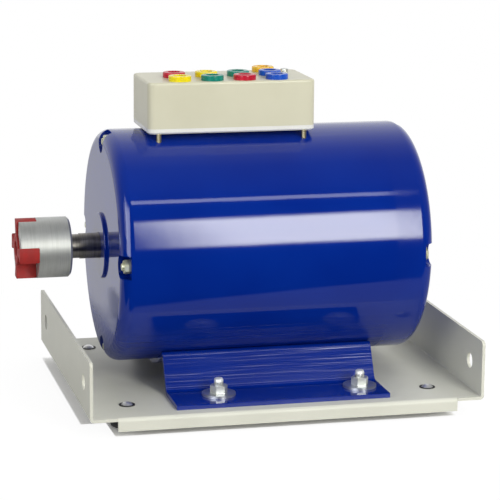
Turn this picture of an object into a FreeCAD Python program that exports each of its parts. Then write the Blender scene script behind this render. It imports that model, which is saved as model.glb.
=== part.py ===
import FreeCAD, Part
import math
import os

from FreeCAD import Vector

# A small three-phase motor for a teaching bench, on its sheet-steel tray.
# X runs along the shaft with the coupling at the low end, Y runs away from the front, Z is up.
# The origin is the centre of the tray on the surface that the rubber feet stand on.

# Clearances
seat_gap = 0.05          # between fitted pieces that don't move on each other
bolt_gap = 0.3           # around a bolt in its hole, all round
shaft_gap = 0.3          # around the shaft where it passes through the casing
air_gap = 0.4            # between the stator bore and the rotor
ball_gap = 0.04          # around each ball in its races and pockets
overrun = 5.0            # how far a cutting tool runs past the metal
same_point = 0.000001    # two points closer than this are one point

# Base tray
tray_length = 260.0      # over the outer faces of the end flanges
tray_depth = 208.0
tray_sheet = 2.0
tray_bend = 2.6          # outside radius of every bend
flange_rise = 38.9       # from the underside of the floor to the top of an end flange
flange_corner = 3.0
lip_length = 224.0
lip_drop = 6.7           # from the underside of the floor to the bottom of a lip
flange_hole_d = 10.5
flange_hole_pitch = 160.0
flange_hole_rise = 20.5

# Rubber feet and the pins that spread them
foot_pitch_x = 202.0
foot_pitch_y = 148.0
foot_hole_d = 10.5
foot_d = 24.0
foot_toe_d = 21.5
foot_height = 11.5       # from the resting surface to the underside of the floor
foot_hem = 1.5
neck_rise = 0.4          # of the rubber neck above the floor
pin_d = 3.6
pin_head_d = 7.5
pin_head_height = 1.8
pin_depth = 7.0          # of the pin below the underside of the floor

# Motor saddle: one pressed sheet with two feet, two webs and a cradle
saddle_length = 141.5
saddle_centre_x = -1.5
saddle_sheet = 3.0
saddle_depth = 187.0
saddle_web_pitch = 96.0  # over the outer faces of the two webs, where they meet the cradle
saddle_web_angle = 28.0  # of a web from upright
saddle_bend = 5.0        # inside radius between a foot and its web
saddle_shoulder = 4.2    # outside radius between a web and the cradle
saddle_bolt_pitch_x = 95.0
saddle_bolt_pitch_y = 146.0
saddle_bolt_centre_x = 7.0

# Bolts of the saddle
bolt_d = 6.0
bolt_across_flats = 10.0
bolt_head_height = 4.0
nut_height = 5.0
nut_edge = 0.6           # bevel on the corners of a nut or bolt head
washer_d = 22.0
washer_thickness = 1.6
thread_out = 4.5         # of the bolt's end above its nut
thread_bevel = 0.6

# Motor casing
axis_height = 89.5       # of the shaft above the tray's floor
casing_d = 153.8
motor_length = 207.5     # over the outer faces of the two end shields
motor_centre_x = -0.5
shell_wall = 2.5
rim_radius = 8.5         # rounding between an end shield's face and its rim
drive_rim = 9.0          # length of the drive-end shield's rim
rear_rim = 25.5
shield_plate = 5.0
spigot_length = 6.0
spigot_wall = 3.5
boss_d = 44.0
boss_rise = 1.7
boss_edge = 0.8
boss_wall = 2.5          # metal between the bearing and the end of the boss
housing_wall = 5.0       # around the bearing, inside the casing
rib_thickness = 4.0
rib_reach = 9.0          # of a rib behind the plate

# Tie bolts
tie_bolt_d = 5.0
tie_circle_d = 139.0
tie_across_flats = 8.0
tie_head_height = 2.8
tie_nut_height = 4.0
tie_thread_out = 1.4
tie_count = 4
pocket_width = 15.0
pocket_depth = 6.2
pad_wall = 4.0           # metal behind a pocket

# Bearings
bearing_bore_d = 17.0
bearing_od = 40.0
bearing_width = 12.0
inner_race_shoulder_d = 24.4
outer_race_shoulder_d = 32.6
race_edge = 0.6
ball_d = 6.75
ball_count = 8
cage_thickness = 1.6
cage_width = 8.4
preload_thickness = 1.0
preload_bore_d = 32.0

# Shaft
shaft_end_d = 16.0
shaft_core_d = 22.0      # through the rotor
shaft_shoulder_d = 20.0  # against the bearings
shaft_step_x = 13.1       # of the bearing seat's end in front of the boss
shaft_bevel = 1.0
key_width = 5.0
key_height = 5.0
key_length = 16.0

# Stator and rotor
core_length = 80.0
stator_bore_d = 90.0
slot_count = 24
slot_depth = 14.0
slot_root_width = 9.4
slot_tip_width = 7.0
slot_mouth = 2.4
slot_mouth_depth = 1.6
winding_gap = 0.3
winding_overhang = 27.0
winding_bore_gap = 1.0   # of the end turns behind the stator bore
winding_bulge_height = 2.0  # of the end turns beyond the roots of the slots
winding_crown = 5.0      # rounding of the end turns
tie_groove_gap = 0.7
rotor_bar_count = 18
rotor_bar_d = 6.4
rotor_bar_depth = 1.8    # of the bars below the rotor's surface
end_ring_step = 1.0      # of the end rings below the rotor's surface
end_ring_length = 9.0
end_ring_bore_d = 58.0
blade_count = 6
blade_length = 8.0
blade_thickness = 3.0

# Coupling half and its spider
hub_d = 40.0
hub_length = 21.8
hub_end_from_boss = 20.3  # gap between the hub and the end of the boss
hub_edge = 1.4
jaw_length = 11.9
jaw_angle = 60.0
first_jaw = 11.0         # degrees from the front, turning upwards, where the first jaw starts
jaw_root_d = 21.0
spider_length = 13.2
spider_leg_angle = 30.0
spider_core_d = 20.6
spider_bore_d = 10.0
spider_edge = 0.8
set_screw_d = 5.0
set_screw_length = 8.0
set_screw_socket_width = 2.5
set_screw_from_end = 8.0

# Terminal box
box_length = 112.0
box_depth = 55.0
box_height = 33.6
box_centre_x = -21.6
box_rise = 0.5           # of the box above the top of the casing
box_wall = 2.2
box_corner = 4.5
box_edge = 1.6
box_base_thickness = 3.4
box_base_bevel = 1.0
box_rim_height = 4.0
box_rim_wall = 1.6
pillar_d = 3.3
pillar_inset_x = 7.3     # of a pillar's middle inside the end of the box
pillar_inset_y = 1.7
pillar_stub_d = 2.0
bush_d = 13.0
bush_flange_d = 17.0
bush_flange_thickness = 1.5
loom_d = 8.0
loom_above_base = 8.0
lead_offset_y = 14.0     # of the lead's way behind the shaft, clear of the upper tie bolt

# Sockets for 4 mm plugs
socket_head_d = 14.8
socket_head_height = 3.5
socket_head_edge = 0.7
socket_body_d = 11.4
socket_snap_d = 12.0     # over the barb that holds a socket in the box
socket_snap_length = 3.0
socket_body_length = 19.0
socket_well_d = 8.4      # for the sleeve of a safety plug
socket_well_depth = 12.0
socket_pitch_x = 21.7
socket_pitch_y = 19.0
socket_columns = 4
socket_shift_x = -0.9    # of the grid of sockets from the middle of the box
contact_d = 6.0
plug_hole_d = 4.1
contact_recess = 2.5     # of the contact below the top of the socket's head
plug_hole_depth = 17.0
contact_tab_width = 4.8
contact_tab_thickness = 0.8
contact_tab_length = 7.0
earth_column = 3         # counted from the coupling's end, from 0
earth_screw_d = 3.0
earth_screw_head_d = 5.6
earth_screw_head_height = 2.2
earth_screw_length = 8.0
earth_screw_offset_x = 13.6  # from the amber socket, towards the rear end
earth_screw_offset_y = 5.0   # from the amber socket, towards the front

# Levels and stations that follow from the sizes above
floor_low = foot_height
floor_top = floor_low + tray_sheet
axis_z = floor_top + axis_height
casing_r = casing_d / 2
shell_bore_r = casing_r - shell_wall
drive_face = motor_centre_x - motor_length / 2
rear_face = motor_centre_x + motor_length / 2
shell_start = drive_face + drive_rim
shell_end = rear_face - rear_rim
core_start = motor_centre_x - core_length / 2
core_end = motor_centre_x + core_length / 2
boss_end = drive_face - boss_rise
bearing_r = bearing_od / 2
ball_circle_r = (bearing_od + bearing_bore_d) / 4
bearing_setback = boss_wall - boss_rise
drive_bearing_x = drive_face + bearing_setback
rear_bearing_x = rear_face - bearing_setback - preload_thickness - bearing_width
hub_right = boss_end - hub_end_from_boss
hub_left = hub_right - hub_length
jaw_tip = hub_left - jaw_length
tie_circle_r = tie_circle_d / 2
pocket_floor_drive = drive_face + pocket_depth
pocket_floor_rear = rear_face - pocket_depth
stator_bore_r = stator_bore_d / 2
rotor_r = stator_bore_r - air_gap
slot_root_r = stator_bore_r + slot_mouth_depth + slot_depth
winding_r = slot_root_r + winding_bulge_height
lead_x = core_start - winding_overhang / 2
saddle_top = floor_top + saddle_sheet
box_low = axis_z + casing_r + box_rise
box_top = box_low + box_height
box_base_top = box_low + box_base_thickness
contact_top = box_top + socket_head_height - contact_recess
pillar_pitch_x = box_length - 2 * pillar_inset_x
pillar_pitch_y = box_depth - 2 * pillar_inset_y
socket_start_x = box_centre_x + socket_shift_x - socket_pitch_x * (socket_columns - 1) / 2

X_WAY = Vector(1, 0, 0)
Y_WAY = Vector(0, 1, 0)
Z_WAY = Vector(0, 0, 1)
AXIS = Vector(0, 0, axis_z)


class Outline:
    """A closed outline of straight lines and arcs, drawn in a plane of its own."""

    def __init__(self, place, a, b):
        self.place = place
        self.first = self.last = (a, b)
        self.edges = []

    def line(self, a, b):
        start, end = self.place(*self.last), self.place(a, b)
        if start.distanceToPoint(end) > same_point:
            self.edges.append(Part.makeLine(start, end))
        self.last = (a, b)
        return self

    def bend(self, centre, radius, start_angle, end_angle):
        def point(angle):
            turn = math.radians(angle)
            return centre[0] + radius * math.cos(turn), centre[1] + radius * math.sin(turn)

        self.line(*point(start_angle))
        middle = point((start_angle + end_angle) / 2)
        end = point(end_angle)
        arc = Part.Arc(self.place(*self.last), self.place(*middle), self.place(*end))
        self.edges.append(arc.toShape())
        self.last = end
        return self

    def face(self):
        self.line(*self.first)
        return Part.Face(Part.Wire(self.edges))


def block(x, y, z):
    """A block between pairs of X, Y and Z values."""
    size = (x[1] - x[0], y[1] - y[0], z[1] - z[0])
    return Part.makeBox(*size, Vector(x[0], y[0], z[0]))


def rod_x(radius, start, end, y=0.0, z=axis_z):
    return Part.makeCylinder(radius, end - start, Vector(start, y, z), X_WAY)


def rod_z(radius, low, high, x=0.0, y=0.0):
    return Part.makeCylinder(radius, high - low, Vector(x, y, low), Z_WAY)


def tube_x(outer, inner, start, end):
    return rod_x(outer, start, end).cut(rod_x(inner, start - overrun, end + overrun))


def tube_z(outer, inner, low, high, x=0.0, y=0.0):
    return rod_z(outer, low, high, x, y).cut(rod_z(inner, low - overrun, high + overrun, x, y))


def hexagon(across_flats, height, base, way, bevel):
    """A hexagon nut blank or bolt head with its outer corners turned off."""
    corner = across_flats / math.sqrt(3)
    side = Part.makePolygon([
        Vector(corner * math.cos(math.radians(60 * n)), corner * math.sin(math.radians(60 * n)), 0)
        for n in range(7)
    ])
    blank = Part.Face(side).extrude(Vector(0, 0, height))
    turned = Part.makeCone(corner, corner - bevel, bevel, Vector(0, 0, height - bevel), Z_WAY)
    turned = turned.fuse(Part.makeCylinder(corner, height - bevel))
    blank = blank.common(turned)
    blank.Placement = FreeCAD.Placement(base, FreeCAD.Rotation(Z_WAY, way))
    return blank


def around_axis(shape, angle):
    """A copy turned about the shaft's axis. A positive angle takes the front upwards."""
    turned = shape.copy()
    turned.rotate(AXIS, X_WAY, -angle)
    return turned


def corners(pitch_x, pitch_y, centre_x=0.0):
    return [(centre_x + i * pitch_x / 2, j * pitch_y / 2) for i in (-1, 1) for j in (-1, 1)]


def joined(shapes):
    first, *rest = shapes
    return first.fuse(rest).removeSplitter() if rest else first


def group(shapes):
    return Part.makeCompound([solid for shape in shapes for solid in shape.Solids])


# Base tray, rubber feet and their pins

def make_tray():
    half_x, half_y = tray_length / 2, tray_depth / 2
    top = floor_low + flange_rise
    inner = tray_bend - tray_sheet
    turn_z = floor_low + tray_bend
    left, right = (tray_bend - half_x, turn_z), (half_x - tray_bend, turn_z)
    outline = Outline(lambda a, b: Vector(a, -half_y, b), -half_x, top)
    outline.bend(left, tray_bend, 180, 270).bend(right, tray_bend, 270, 360)
    outline.line(half_x, top).line(half_x - tray_sheet, top)
    outline.bend(right, inner, 360, 270).bend(left, inner, 270, 180)
    outline.line(tray_sheet - half_x, top)
    tray = outline.face().extrude(Vector(0, tray_depth, 0))

    flange_tops = [
        edge for edge in tray.Edges
        if edge.BoundBox.YLength < overrun and edge.BoundBox.ZMin > top - tray_sheet
        and edge.BoundBox.XLength > tray_sheet / 2
    ]
    tray = tray.makeFillet(flange_corner, flange_tops)

    for side in (-1, 1):
        edge_y = sorted((side * half_y, side * (half_y - tray_bend)))
        along = (-lip_length / 2, lip_length / 2)
        tray = tray.cut(block(along, edge_y, (floor_low - overrun, floor_top + overrun)))
        lip = Outline(lambda a, b: Vector(-lip_length / 2, side * a, b), half_y - tray_bend, floor_top)
        knee = (half_y - tray_bend, floor_top - tray_bend)
        lip.bend(knee, tray_bend, 90, 0)
        lip.line(half_y, floor_low - lip_drop).line(half_y - tray_sheet, floor_low - lip_drop)
        lip.bend(knee, inner, 0, 90)
        tray = tray.fuse(lip.face().extrude(Vector(lip_length, 0, 0)))

    holes = [
        rod_z(foot_hole_d / 2, floor_low - overrun, floor_top + overrun, x, y)
        for x, y in corners(foot_pitch_x, foot_pitch_y)
    ]
    holes += [
        rod_z(bolt_d / 2 + bolt_gap, floor_low - overrun, floor_top + overrun, x, y)
        for x, y in corners(saddle_bolt_pitch_x, saddle_bolt_pitch_y, saddle_bolt_centre_x)
    ]
    holes += [
        rod_x(flange_hole_d / 2, -half_x - overrun, half_x + overrun,
              side * flange_hole_pitch / 2, floor_low + flange_hole_rise)
        for side in (-1, 1)
    ]
    return tray.cut(holes).removeSplitter()


def make_foot(x, y):
    neck_r = foot_hole_d / 2 - seat_gap
    profile = Outline(lambda a, b: Vector(x + a, y, b), 0.0, 0.0)
    profile.bend((foot_toe_d / 2 - foot_hem, foot_hem), foot_hem, -90, 0)
    profile.line(foot_d / 2, floor_low).line(neck_r, floor_low)
    profile.line(neck_r, floor_top + neck_rise).line(pin_d / 2, floor_top + neck_rise)
    profile.line(pin_d / 2, floor_low - pin_depth).line(0.0, floor_low - pin_depth)
    return profile.face().revolve(Vector(x, y, 0), Z_WAY, 360)


def make_pin(x, y):
    head_low = floor_top + neck_rise
    head_r = pin_head_d / 2
    dome_r = (head_r**2 + pin_head_height**2) / (2 * pin_head_height)
    centre = (0.0, head_low + pin_head_height - dome_r)
    shank_r = pin_d / 2 - seat_gap
    profile = Outline(lambda a, b: Vector(x + a, y, b), 0.0, floor_low - pin_depth)
    profile.line(shank_r, floor_low - pin_depth).line(shank_r, head_low).line(head_r, head_low)
    start = math.degrees(math.asin((head_low - centre[1]) / dome_r))
    profile.bend(centre, dome_r, start, 90)
    return profile.face().revolve(Vector(x, y, 0), Z_WAY, 360)


# Motor saddle with its bolts

def make_saddle():
    half, web = saddle_depth / 2, saddle_web_pitch / 2
    start = saddle_centre_x - saddle_length / 2
    outline = Outline(lambda a, b: Vector(start, a, b), -half, floor_top)
    cradle_r = casing_r + seat_gap
    shoulder_reach = cradle_r + saddle_shoulder
    web_turn = math.radians(saddle_web_angle)
    shoulder_y = web - saddle_shoulder * math.cos(web_turn)
    shoulder_z = axis_z - math.sqrt(shoulder_reach**2 - shoulder_y**2)
    lean = math.degrees(math.asin(shoulder_y / shoulder_reach))
    knee_z = saddle_top + saddle_bend
    knee_y = shoulder_y + (shoulder_z - knee_z) * math.tan(web_turn)
    knee_y += (saddle_shoulder + saddle_bend) / math.cos(web_turn)
    inner_shoulder = saddle_shoulder - saddle_sheet
    outer_knee = saddle_bend + saddle_sheet
    cradle = (0.0, axis_z)

    outline.line(-half, saddle_top)
    outline.bend((-knee_y, knee_z), saddle_bend, -90, -saddle_web_angle)
    outline.bend((-shoulder_y, shoulder_z), saddle_shoulder, 180 - saddle_web_angle, 90 - lean)
    outline.bend(cradle, cradle_r, 270 - lean, 270 + lean)
    outline.bend((shoulder_y, shoulder_z), saddle_shoulder, 90 + lean, saddle_web_angle)
    outline.bend((knee_y, knee_z), saddle_bend, 180 + saddle_web_angle, 270)
    outline.line(half, saddle_top).line(half, floor_top)
    outline.bend((knee_y, knee_z), outer_knee, 270, 180 + saddle_web_angle)
    outline.bend((shoulder_y, shoulder_z), inner_shoulder, saddle_web_angle, 90 + lean)
    outline.bend(cradle, cradle_r + saddle_sheet, 270 + lean, 270 - lean)
    outline.bend((-shoulder_y, shoulder_z), inner_shoulder, 90 - lean, 180 - saddle_web_angle)
    outline.bend((-knee_y, knee_z), outer_knee, -saddle_web_angle, -90)
    saddle = outline.face().extrude(Vector(saddle_length, 0, 0))
    holes = [
        rod_z(bolt_d / 2 + bolt_gap, floor_top - overrun, saddle_top + overrun, x, y)
        for x, y in corners(saddle_bolt_pitch_x, saddle_bolt_pitch_y, saddle_bolt_centre_x)
    ]
    return saddle.cut(holes)


def make_saddle_bolt(x, y):
    top = saddle_top + washer_thickness + nut_height + thread_out
    head = hexagon(bolt_across_flats, bolt_head_height, Vector(x, y, floor_low), -Z_WAY, nut_edge)
    shank = rod_z(bolt_d / 2, floor_low, top - thread_bevel, x, y)
    tip = Part.makeCone(bolt_d / 2, bolt_d / 2 - thread_bevel, thread_bevel,
                        Vector(x, y, top - thread_bevel), Z_WAY)
    return joined([head, shank, tip])


def make_saddle_washer(x, y):
    return tube_z(washer_d / 2, bolt_d / 2 + bolt_gap, saddle_top, saddle_top + washer_thickness, x, y)


def make_saddle_nut(x, y):
    low = saddle_top + washer_thickness
    nut = hexagon(bolt_across_flats, nut_height, Vector(x, y, low), Z_WAY, nut_edge)
    return nut.cut(rod_z(bolt_d / 2 + seat_gap, low - overrun, low + nut_height + overrun, x, y))


# Casing: shell, end shields, tie bolts

def make_shell():
    shell = tube_x(casing_r, shell_bore_r, shell_start, shell_end)
    holes = [rod_z(bush_d / 2 + seat_gap, axis_z, box_low, lead_x, lead_offset_y)]
    holes += [
        rod_z(pillar_stub_d / 2 + seat_gap, axis_z, box_low, x, y)
        for x, y in corners(pillar_pitch_x, pillar_pitch_y, box_centre_x)
    ]
    return shell.cut(holes)


def make_shield(face_x, inward, rim, open_boss):
    """An end shield, drawn from its outer face inwards and turned about the shaft's axis."""
    def place(a, b):
        return Vector(face_x + inward * a, 0.0, axis_z + b)

    spigot_r = shell_bore_r - seat_gap
    housing_r = bearing_r + housing_wall
    seat_r = bearing_r + seat_gap
    seat_start = bearing_setback
    seat_end = bearing_setback + bearing_width + (0.0 if open_boss else preload_thickness)
    bore_r = bearing_bore_d / 2 + shaft_gap
    boss_r = boss_d / 2

    profile = Outline(place, -boss_rise, bore_r if open_boss else 0.0)
    profile.bend((boss_edge - boss_rise, boss_r - boss_edge), boss_edge, 180, 90)
    profile.line(0.0, boss_r)
    profile.bend((rim_radius, casing_r - rim_radius), rim_radius, 180, 90)
    profile.line(rim, casing_r).line(rim, spigot_r).line(rim + spigot_length, spigot_r)
    profile.line(rim + spigot_length, spigot_r - spigot_wall)
    profile.bend((shield_plate + spigot_wall, spigot_r - 2 * spigot_wall), spigot_wall, 90, 180)
    profile.line(shield_plate, housing_r).line(seat_end, housing_r).line(seat_end, seat_r)
    profile.line(seat_start, seat_r)
    if open_boss:
        profile.line(seat_start, bore_r)
    else:
        profile.line(seat_start, 0.0)
    shield = profile.face().revolve(AXIS, X_WAY, 360)

    inner_x = face_x + inward * shield_plate / 2
    pad_end = face_x + inward * (pocket_depth + pad_wall)
    pad = rod_x(pocket_width / 2 + pad_wall, *sorted((inner_x, pad_end)), -tie_circle_r)
    pad = pad.common(rod_x(spigot_r, *sorted((inner_x, pad_end))))
    rib_end = face_x + inward * (shield_plate + rib_reach)
    rib = block(sorted((inner_x, rib_end)), (-tie_circle_r, -bearing_r - housing_wall / 2),
                (axis_z - rib_thickness / 2, axis_z + rib_thickness / 2))
    floor_x = face_x + inward * pocket_depth
    mouth_x = face_x - inward * overrun
    pocket = rod_x(pocket_width / 2, *sorted((mouth_x, floor_x)), -tie_circle_r)
    slot = block(sorted((mouth_x, floor_x)), (-casing_r - overrun, -tie_circle_r),
                 (axis_z - pocket_width / 2, axis_z + pocket_width / 2))
    reach = rim + spigot_length + overrun
    hole = rod_x(tie_bolt_d / 2 + bolt_gap, face_x - reach, face_x + reach, -tie_circle_r)
    angles = [360 * n / tie_count for n in range(tie_count)]
    shield = joined([shield] + [around_axis(piece, angle) for angle in angles for piece in (pad, rib)])
    cuts = [around_axis(piece, angle) for angle in angles for piece in (pocket, slot, hole)]
    return shield.cut(cuts)


def make_tie_bolt(angle):
    head_base = Vector(pocket_floor_rear, -tie_circle_r, axis_z)
    head = hexagon(tie_across_flats, tie_head_height, head_base, X_WAY, nut_edge)
    start = pocket_floor_drive - tie_nut_height - tie_thread_out
    shank = rod_x(tie_bolt_d / 2, start, pocket_floor_rear, -tie_circle_r)
    return around_axis(joined([head, shank]), angle)


def make_tie_nut(angle):
    base = Vector(pocket_floor_drive, -tie_circle_r, axis_z)
    nut = hexagon(tie_across_flats, tie_nut_height, base, -X_WAY, nut_edge)
    thread = rod_x(tie_bolt_d / 2 + seat_gap, base.x - 2 * tie_nut_height, base.x + overrun, -tie_circle_r)
    return around_axis(nut.cut(thread), angle)


# Stator with its windings

def slot_outline(radius_cut, side_cut, mouth):
    """A slot's half widths at its tip and root, with its mouth where the bore needs one."""
    tip_r = stator_bore_r + slot_mouth_depth + radius_cut
    root_r = slot_root_r - radius_cut
    tip, root = slot_tip_width / 2 - side_cut, slot_root_width / 2 - side_cut
    points = [(tip_r, -tip), (root_r, -root), (root_r, root), (tip_r, tip)]
    if mouth:
        narrow = slot_mouth / 2
        low = stator_bore_r - overrun
        points += [(tip_r, narrow), (low, narrow), (low, -narrow), (tip_r, -narrow)]
    return points


def slot_bar(points, start, end, angle):
    corner_points = [Vector(start, -radius, axis_z + side) for radius, side in points]
    face = Part.Face(Part.makePolygon(corner_points + corner_points[:1]))
    return around_axis(face.extrude(Vector(end - start, 0, 0)), angle)


def make_stator_core():
    core = tube_x(shell_bore_r - seat_gap, stator_bore_r, core_start, core_end)
    points = slot_outline(0.0, 0.0, True)
    step = 360 / slot_count
    cuts = [
        slot_bar(points, core_start - overrun, core_end + overrun, step * (n + 1 / 2))
        for n in range(slot_count)
    ]
    groove = rod_x(tie_bolt_d / 2 + tie_groove_gap, core_start - overrun, core_end + overrun, -tie_circle_r)
    cuts += [around_axis(groove, 360 * n / tie_count) for n in range(tie_count)]
    return core.cut(cuts)


def make_windings():
    inner = stator_bore_r + winding_bore_gap
    turns = []
    for base, way in ((core_start - winding_gap, -1), (core_end + winding_gap, 1)):
        tip = winding_overhang - winding_crown
        ring = Outline(lambda a, b: Vector(base + way * a, 0.0, axis_z + b), 0.0, inner)
        ring.line(0.0, winding_r)
        ring.bend((tip, winding_r - winding_crown), winding_crown, 90, 0)
        ring.bend((tip, inner + winding_crown), winding_crown, 0, -90)
        turns.append(ring.face().revolve(AXIS, X_WAY, 360))
    points = slot_outline(winding_gap, winding_gap, False)
    step = 360 / slot_count
    bars = [
        slot_bar(points, core_start - overrun, core_end + overrun, step * (n + 1 / 2))
        for n in range(slot_count)
    ]
    return joined(turns + bars)


# Rotor: core, cage, shaft

def rotor_bars(radius, start, end):
    bar = rod_x(radius, start, end, rotor_bar_depth + rotor_bar_d / 2 - rotor_r)
    return [around_axis(bar, 360 * n / rotor_bar_count) for n in range(rotor_bar_count)]


def make_cage():
    ring_r, inner_r = rotor_r - end_ring_step, end_ring_bore_d / 2
    overlap = end_ring_length / 2
    pieces = rotor_bars(rotor_bar_d / 2, core_start - overlap, core_end + overlap)
    for start, end, way in ((core_start - end_ring_length, core_start, -1),
                            (core_end, core_end + end_ring_length, 1)):
        pieces.append(tube_x(ring_r, inner_r, start, end))
        outer_x = start if way < 0 else end
        reach = sorted((outer_x - way * overlap, outer_x + way * blade_length))
        blade = block(reach, (-ring_r, -inner_r),
                      (axis_z - blade_thickness / 2, axis_z + blade_thickness / 2))
        blade = blade.common(tube_x(ring_r, inner_r, *reach))
        pieces += [around_axis(blade, 360 * n / blade_count) for n in range(blade_count)]
    return joined(pieces)


def make_rotor_core():
    core = tube_x(rotor_r, shaft_core_d / 2 + seat_gap, core_start, core_end)
    return core.cut(rotor_bars(rotor_bar_d / 2 + seat_gap, core_start - overrun, core_end + overrun))


def make_key(gap):
    half = key_width / 2 + gap
    end_x = hub_right - hub_edge
    start_x = end_x - key_length
    keyway_low = axis_z + shaft_end_d / 2 - key_height / 2 - gap
    keyway_high = keyway_low + key_height + 2 * gap
    middle = block((start_x, end_x), (-half, half), (keyway_low, keyway_high))
    ends = [rod_z(half, keyway_low, keyway_high, x, 0.0) for x in (start_x, end_x)]
    clipped = block((start_x - half, hub_right), (-half, half), (keyway_low, keyway_high))
    return joined([middle] + ends).common(clipped)


def make_shaft():
    end_r, seat_r = shaft_end_d / 2, bearing_bore_d / 2 - seat_gap
    shoulder_r, core_r = shaft_shoulder_d / 2, shaft_core_d / 2
    tip = hub_left
    step_x = boss_end - shaft_step_x
    shoulder_x = drive_bearing_x + bearing_width
    rear_shoulder_x = rear_bearing_x
    rear_tip = rear_bearing_x + bearing_width
    profile = Outline(lambda a, b: Vector(a, 0.0, axis_z + b), tip, 0.0)
    profile.line(tip, end_r - shaft_bevel).line(tip + shaft_bevel, end_r)
    profile.line(step_x, end_r).line(step_x, seat_r).line(shoulder_x, seat_r)
    profile.line(shoulder_x, shoulder_r).line(core_start, shoulder_r).line(core_start, core_r)
    profile.line(core_end, core_r).line(core_end, shoulder_r)
    profile.line(rear_shoulder_x, shoulder_r).line(rear_shoulder_x, seat_r)
    profile.line(rear_tip - shaft_bevel, seat_r).line(rear_tip, seat_r - shaft_bevel).line(rear_tip, 0.0)
    return profile.face().revolve(AXIS, X_WAY, 360).cut(make_key(seat_gap))


# Bearings

def make_race(start, inner_r, outer_r):
    """One ring of a ball bearing with its groove and rounded edges."""
    end = start + bearing_width
    ring = tube_x(outer_r, inner_r, start, end)
    rims = [
        edge for edge in ring.Edges
        if edge.BoundBox.XLength < seat_gap
        and abs(edge.BoundBox.YLength / 2 - (outer_r if outer_r > ball_circle_r else inner_r)) < seat_gap
    ]
    ring = ring.makeChamfer(race_edge, rims)
    centre = Vector(start + bearing_width / 2, 0, axis_z)
    groove = Part.makeTorus(ball_circle_r, ball_d / 2 + ball_gap, centre, X_WAY)
    return ring.cut(groove)


def ball_places(start):
    middle = start + bearing_width / 2
    for n in range(ball_count):
        turn = 2 * math.pi * n / ball_count
        yield Vector(middle, -ball_circle_r * math.cos(turn), axis_z + ball_circle_r * math.sin(turn))


def make_balls(start):
    return group([Part.makeSphere(ball_d / 2, place) for place in ball_places(start)])


def make_ball_cage(start):
    middle = start + bearing_width / 2
    ring = tube_x(ball_circle_r + cage_thickness / 2, ball_circle_r - cage_thickness / 2,
                  middle - cage_width / 2, middle + cage_width / 2)
    axis_point = Vector(middle, 0, axis_z)
    pockets = []
    for place in ball_places(start):
        way = place - axis_point
        pockets.append(Part.makeCylinder(ball_d / 2 + ball_gap, 2 * ball_circle_r, axis_point, way))
    return ring.cut(pockets)


def make_preload_washer():
    start = rear_bearing_x + bearing_width
    return tube_x(bearing_r, preload_bore_d / 2, start, start + preload_thickness)


# Coupling

def sector(inner_r, outer_r, start_x, end_x, first, span):
    """A ring sector about the shaft's axis, from an angle that counts from the front upwards."""
    side = Outline(lambda a, b: Vector(a, -b, axis_z), start_x, inner_r)
    side.line(start_x, outer_r).line(end_x, outer_r).line(end_x, inner_r)
    return around_axis(side.face().revolve(AXIS, X_WAY, -span), first)


def make_hub():
    hub = rod_x(hub_d / 2, hub_left, hub_right)
    rim = [edge for edge in hub.Edges if edge.BoundBox.XMin > hub_right - hub_edge
           and edge.BoundBox.XLength < seat_gap]
    hub = hub.makeChamfer(hub_edge, rim)
    jaws = [
        sector(jaw_root_d / 2, hub_d / 2, jaw_tip, hub_left, first_jaw + turn, jaw_angle)
        for turn in (0, 180)
    ]
    hub = joined([hub] + jaws)
    bore = rod_x(shaft_end_d / 2 + seat_gap, hub_left - overrun, hub_right + overrun)
    slot_r = key_width / 2 + seat_gap
    keyway = block((hub_left - overrun, hub_right + overrun), (-slot_r, slot_r),
                   (axis_z, axis_z + shaft_end_d / 2 + key_height / 2 + seat_gap))
    screw_hole = rod_z(set_screw_d / 2 + seat_gap, axis_z - hub_d, axis_z, hub_right - set_screw_from_end)
    return hub.cut([bore, keyway, screw_hole])


def make_set_screw():
    """A headless screw under the shaft, with a hexagon socket in its outer end."""
    x = hub_right - set_screw_from_end
    top = axis_z - shaft_end_d / 2
    low = top - set_screw_length
    screw = rod_z(set_screw_d / 2, low, top, x)
    mouth = Vector(x, 0, low - seat_gap)
    socket = hexagon(set_screw_socket_width, set_screw_socket_width, mouth, Z_WAY, seat_gap)
    return screw.cut(socket)


def make_spider():
    start, end = hub_left - spider_length, hub_left
    core = tube_x(spider_core_d / 2, spider_bore_d / 2, start, end)
    legs = [
        sector(spider_core_d / 2 - spider_edge, hub_d / 2, start, end,
               first_jaw - spider_leg_angle + 90 * n, spider_leg_angle)
        for n in range(4)
    ]
    return joined([core] + legs)


# Terminal box with its base, pillars and sockets

def box_outline(inset, low, height):
    length, depth = box_length - 2 * inset, box_depth - 2 * inset
    corner = box_corner - inset
    solid = Part.makeBox(length, depth, height, Vector(box_centre_x - length / 2, -depth / 2, low))
    uprights = [edge for edge in solid.Edges if edge.BoundBox.ZLength > height / 2]
    return solid.makeFillet(corner, uprights) if corner > seat_gap else solid


def socket_places():
    """The eight winding sockets, row by row, with their colours as the front shows them."""
    front, middle = ("yellow", "green", "red", "blue"), ("red", "yellow", "green", "blue")
    for row, colours in enumerate((front, middle)):
        for column, colour in enumerate(colours):
            yield colour, socket_start_x + column * socket_pitch_x, (row - 1) * socket_pitch_y


def earth_place():
    return socket_start_x + earth_column * socket_pitch_x, socket_pitch_y


def all_sockets():
    return [(x, y) for _, x, y in socket_places()] + [earth_place()]


def earth_screw_place():
    x, y = earth_place()
    return x + earth_screw_offset_x, y - earth_screw_offset_y


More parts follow.
